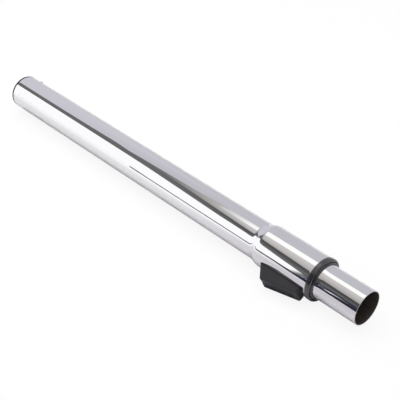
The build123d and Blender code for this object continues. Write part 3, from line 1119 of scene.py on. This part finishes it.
@dataclass
class Studio:
    """Floor, soft lamps, and the panels that the chrome reflects.

    Each panel's outline was found by tracing rays from the photo's camera to the tubes
    and on to the panel's plane, so that the bands on the chrome end where they should.
    """

    floor_half: float = 6000.0
    floor_paint: str = "#fdfdfd"
    camera_share: float = 0.12
    camera_middle: tuple[float, float] = (256.0, 0.0)
    camera_near: float = 500.0
    camera_far: float = 900.0
    ambient: float = 0.40
    lamp_target: tuple[float, float, float] = (250.0, 0.0, 0.0)
    ceiling: float = 1000.0
    front: float = -2500.0
    back: float = 1200.0
    left: float = -3000.0
    right: float = 3000.0
    card_plane: float = -500.0
    card_foot: float = 4.0
    upright_top: float = 230.0
    table_plane: float = -340.0
    near_plane: float = -230.0
    softbox_level: float = 1.13
    ceiling_level: float = 0.70
    ceiling_tint: str = "#f7f6fd"
    dark_tint: str = "#d5d9ff"

    def shell(self) -> list[Card]:
        """Walls and ceiling of the room.

        Returns:
            The panels.
        """
        low, up = CAD_BOX[0].z / MM, self.ceiling
        level, tint = self.ceiling_level, self.ceiling_tint
        front_left, front_right = (self.left, self.front), (self.right, self.front)
        back_left, back_right = (self.left, self.back), (self.right, self.back)
        top = [(*place, up) for place in (front_left, front_right, back_right, back_left)]
        dim = (Fade(Axis.X, -1050, -450, 1.0, 0.89),)
        panels = [Card("ceiling_panel", top, level, tint, dim)]
        for name, start, end, *look in (
            ("back_panel", back_left, back_right, level, tint, dim),
            ("front_gap_panel", front_left, front_right, 0.06, self.dark_tint),
            ("left_panel", front_left, back_left, level, tint),
            ("right_panel", front_right, back_right, 0.35, tint),
        ):
            corners = [(*start, low), (*end, low), (*end, up), (*start, up)]
            panels.append(Card(name, corners, *look))
        return panels

    def overhead(self) -> list[Card]:
        """Dark, grey and bright panels, each hung a little under the one before.

        Returns:
            The panels.
        """
        up, front, left, right = self.ceiling, self.front, self.left, self.right
        seam = [(-660, -150), (-520, -230), (-447, -317), (-383, -437), (-328, -545)]
        seam += [(-242, -743), (-186, -920), (-105, -986), (right, -986)]
        rim = [(left, -185), (-950, -175), (-800, -140), (-720, -100), (-690, -95)]
        dark = [*rim, *seam, (right, front), (left, front)]
        crest = [(right, 364), (-300, 364), (-350, 320), (-412, 110), (-508, 10)]
        grey = [*seam, *crest]
        box = [(-330, -130), (900, -130), (900, 350), (-330, 350)]
        night = (Fade(Axis.X, -620, -240, 1.0, 0.5),)
        dusk = (Fade(Axis.X, -600, -180, 0.25, 1.0), Fade(Axis.Y, -986, -90, 0.66, 1.0))
        side = (Fade(Axis.X, -330, -200, 0.6, 1.0), Fade(Axis.Y, -130, -30, 0.6, 1.0))
        hung = (
            ("dark_top_panel", dark, 0.15, "#ffffff", night),
            ("grey_top_panel", grey, 0.66, "#fffaf6", dusk),
            ("top_softbox_panel", box, self.softbox_level, "#fffffb", side),
        )
        return [
            Card(name, [(x, y, up - drop) for x, y in outline], level, tint, fades)
            for drop, (name, outline, level, tint, fades) in enumerate(hung, start=1)
        ]

    def frontal(self) -> list[Card]:
        """White card in front of the wand, and what shows past its edges.

        Returns:
            The panels.
        """
        low = CAD_BOX[0].z / MM
        slope = [(204, 0), (200, 150), (180, 190), (153, 225), (130, 242), (55, 330), (-20, 430)]
        slope += [(-36, 441), (-108, 456), (-226, 544), (-369, 649), (-500, 738), (-600, 755)]
        slope += [(-820, 782), (-1050, 808), (-2500, 833)]
        plane = self.card_plane
        card = [(-2500, plane, low + self.card_foot), (204, plane, low + self.card_foot)]
        card += [(x, plane, z) for x, z in slope]
        heights = [(-60, 42), (-20, 31), (71, 29), (176, 30), (230, 38), (262, 42), (274, 46)]
        heights += [(290, 56), (900, 56)]
        table = [(-60, 0), (900, 0), *reversed(heights)]
        rise = [(300, 0), (900, 0), (900, 10), (345, 10), (318, 8), (300, 1)]
        glint = [(228, -20), (238, -20), (245, 40), (254, 70), (277, 84), (278, 118), (252, 112)]
        glint += [(240, 94), (233, 40)]
        table_edge = [(x, self.table_plane, low + z) for x, z in table]
        near_edge = [(x, self.near_plane, low + z) for x, z in rise]
        window = [(x, plane - 2, z) for x, z in glint]
        card_end = (Fade(Axis.X, 172, 192, 1.0, 0.15),)
        glint_end = (Fade(Axis.X, 242, 276, 1.0, 0.15),)
        return [
            Card("front_white_panel", card, self.softbox_level, "#fdfdfc", card_end),
            Card("card_stand_panel", self.upright(196, 203), 0.30, "#dde0ff"),
            Card("curtain_panel", self.upright(215, 229), 0.13, "#e6e4ff"),
            Card("table_edge_panel", table_edge, 0.035, self.dark_tint),
            Card("near_edge_panel", near_edge, 0.03, self.dark_tint),
            Card("window_glint_panel", window, 0.9, "#f6f7ff", glint_end),
        ]

    def upright(self, start: float, end: float) -> list[tuple[float, float, float]]:
        """Corners of a narrow upright strip just before the white card."""
        low, top, plane = CAD_BOX[0].z / MM + self.card_foot, self.upright_top, self.card_plane + 1
        return [(start, plane, low), (end, plane, low), (end, plane, top), (start, plane, top)]

    def floor_with_painted_shade(self, tree: NodeTree) -> NodeSocket:
        """Adds the floor as metal shows it, with painted shade: darker near and behind the wand,
        darker in front past the barrel's end, and darker towards the back.

        Args:
            tree: The floor's node tree.

        Returns:
            The socket that holds its shader.
        """
        # Painted shade: in front of the wand and past the barrel's end, the floor that metal shows
        # is darker
        painted_shade_past_end = Fade(Axis.X, 230, 430, 0.0, 0.35).add(tree, 1.0)
        shade = Fade(Axis.Y, -110, 0, 1.0, 0.0).add(tree, painted_shade_past_end)
        front = add_node(tree, "ShaderNodeMath", {"operation": "SUBTRACT"}, i0=1.0, i1=shade)
        # Painted shadow: from a little in front of the wand backwards, the floor that metal shows
        # is darker
        near = Fade(Axis.Y, -140, -30, 1.0, 0.79).add(tree, front.outputs[0])
        # Painted fall-off of light: darker still towards the back
        level = Fade(Axis.Y, 40, 260, 1.0, 0.92).add(tree, near)
        green = Fade(Axis.X, 230, 430, 1.0, 0.96).add(tree, level)
        tone = add_node(tree, "ShaderNodeCombineColor", Red=level, Green=green, Blue=level)
        return add_node(tree, "ShaderNodeBsdfDiffuse", Color=tone.outputs[0]).outputs[0]

    def floor(self) -> Object:
        """Pale floor under the wand. It keeps the wand's shadow, and is white where it is lit.

        Returns:
            The floor's object.
        """
        half, low = self.floor_half, CAD_BOX[0].z / MM
        corners = [(-half, -half, low), (half, -half, low), (half, half, low), (-half, half, low)]
        floor = flat_panel("floor", corners)
        made = bpy.data.materials.new("painted_floor")
        tree = empty_tree(made)
        rays = add_node(tree, "ShaderNodeLightPath").outputs
        paint = add_node(tree, "ShaderNodeBsdfDiffuse", Color=srgb(self.floor_paint)).outputs[0]
        white = add_node(tree, "ShaderNodeEmission", Strength=1.0).outputs[0]
        share: NodeSocket | float = self.camera_share
        near, far = self.camera_near, self.camera_far
        for axis, middle in zip((Axis.X, Axis.Y), self.camera_middle):
            share = Fade(axis, middle - far, middle - near, 0.0, 1.0).add(tree, share)
            share = Fade(axis, middle + near, middle + far, 1.0, 0.0).add(tree, share)
        seen = add_node(tree, "ShaderNodeMixShader", Fac=share, i1=white, i2=paint).outputs[0]
        glossy, through = rays["Is Glossy Ray"], rays["Is Transmission Ray"]
        metal = add_node(
            tree, "ShaderNodeMath", {"operation": "MAXIMUM"}, i0=glossy, i1=through
        ).outputs[0]
        # Glossy and transmission rays see the floor with painted shade near the wand, past the
        # barrel's end and towards the back
        mirrored_with_painted_shade = self.floor_with_painted_shade(tree)
        inner = add_node(tree, "ShaderNodeMixShader", Fac=metal, i1=paint, i2=mirrored_with_painted_shade).outputs[0]
        direct = rays["Is Camera Ray"]
        both = add_node(tree, "ShaderNodeMixShader", Fac=direct, i1=inner, i2=seen)
        add_node(tree, "ShaderNodeOutputMaterial", Surface=both.outputs[0])
        floor.data.materials.append(made)
        return floor

    def world(self) -> None:
        """Sky that is white to the camera and in metal and glass, and soft on the wand."""
        made = bpy.data.worlds.new("studio_world")
        bpy.context.scene.world = made
        tree = empty_tree(made)
        rays = add_node(tree, "ShaderNodeLightPath").outputs
        seen = rays["Is Camera Ray"]
        for other in (rays["Is Glossy Ray"], rays["Is Transmission Ray"]):
            seen = add_node(
                tree, "ShaderNodeMath", {"operation": "MAXIMUM"}, i0=seen, i1=other
            ).outputs[0]
        white = srgb("#ffffff")
        soft, bright = (
            add_node(tree, "ShaderNodeBackground", Strength=level, Color=white).outputs[0]
            for level in (self.ambient, 1.0)
        )
        both = add_node(tree, "ShaderNodeMixShader", Fac=seen, i1=soft, i2=bright)
        add_node(tree, "ShaderNodeOutputWorld", Surface=both.outputs[0])

    def lamps(self) -> None:
        """Two large softboxes, above the wand and at its front, that reflections don't show."""
        for name, place, size, watts in (
            ("top_softbox", (100.0, 0.0, 1300.0), 1400.0, 15.0),
            ("front_softbox", (-600.0, -1400.0, 900.0), 1200.0, 3.0),
        ):
            data = bpy.data.lights.new(name, "AREA")
            data.energy = watts
            data.size = size * MM
            lamp = put_in_scene(name, data)
            lamp.location = Vector(place) * MM
            aim = Vector(self.lamp_target) - Vector(place)
            lamp.rotation_euler = aim.to_track_quat("-Z", "Y").to_euler()
            lamp.visible_glossy = False

    def build(self) -> None:
        """Makes the floor, the world, the lamps and the panels."""
        self.floor()
        self.world()
        self.lamps()
        for card in (*self.shell(), *self.overhead(), *self.frontal()):
            card.build()


@dataclass
class PhotoCamera:
    """Camera at the photo's place, worked out from the tubes' outlines and rims."""

    place: tuple[float, float, float] = (837.5, -507.0, 555.5)
    forward: tuple[float, float, float] = (-0.5813, 0.550, -0.5997)
    focal_px: float = 923.04
    sensor_mm: float = 36.0
    clip_near: float = 10.0
    clip_far: float = 50000.0

    def build(self) -> Object:
        """Makes the camera and sets it as the scene's.

        Returns:
            The camera's object.
        """
        data = bpy.data.cameras.new("photo_camera")
        data.sensor_width = self.sensor_mm
        data.lens = self.focal_px * self.sensor_mm / IMAGE_SIZE_PX
        data.clip_start = self.clip_near * MM
        data.clip_end = self.clip_far * MM
        camera = put_in_scene("photo_camera", data)
        camera.location = Vector(self.place) * MM
        camera.rotation_euler = Vector(self.forward).to_track_quat("-Z", "Y").to_euler()
        bpy.context.scene.camera = camera
        return camera


def main() -> None:
    """Builds the wand's looks, the studio and the camera."""
    logging.basicConfig(level=logging.INFO, format="%(message)s")
    groups = (OuterTube(), InnerTube(), SocketLiner(), RimRings(), ReturnSpring(), MouldedPieces())
    for group in groups:
        for piece in group.build():
            count = len(piece.data.polygons)
            LOG.info("%s: %s, %d faces", type(group).__name__, piece.name, count)
    Studio().build()
    PhotoCamera().build()
    bpy.context.scene.view_settings.view_transform = "Standard"


if __name__ == "__main__":
    main()
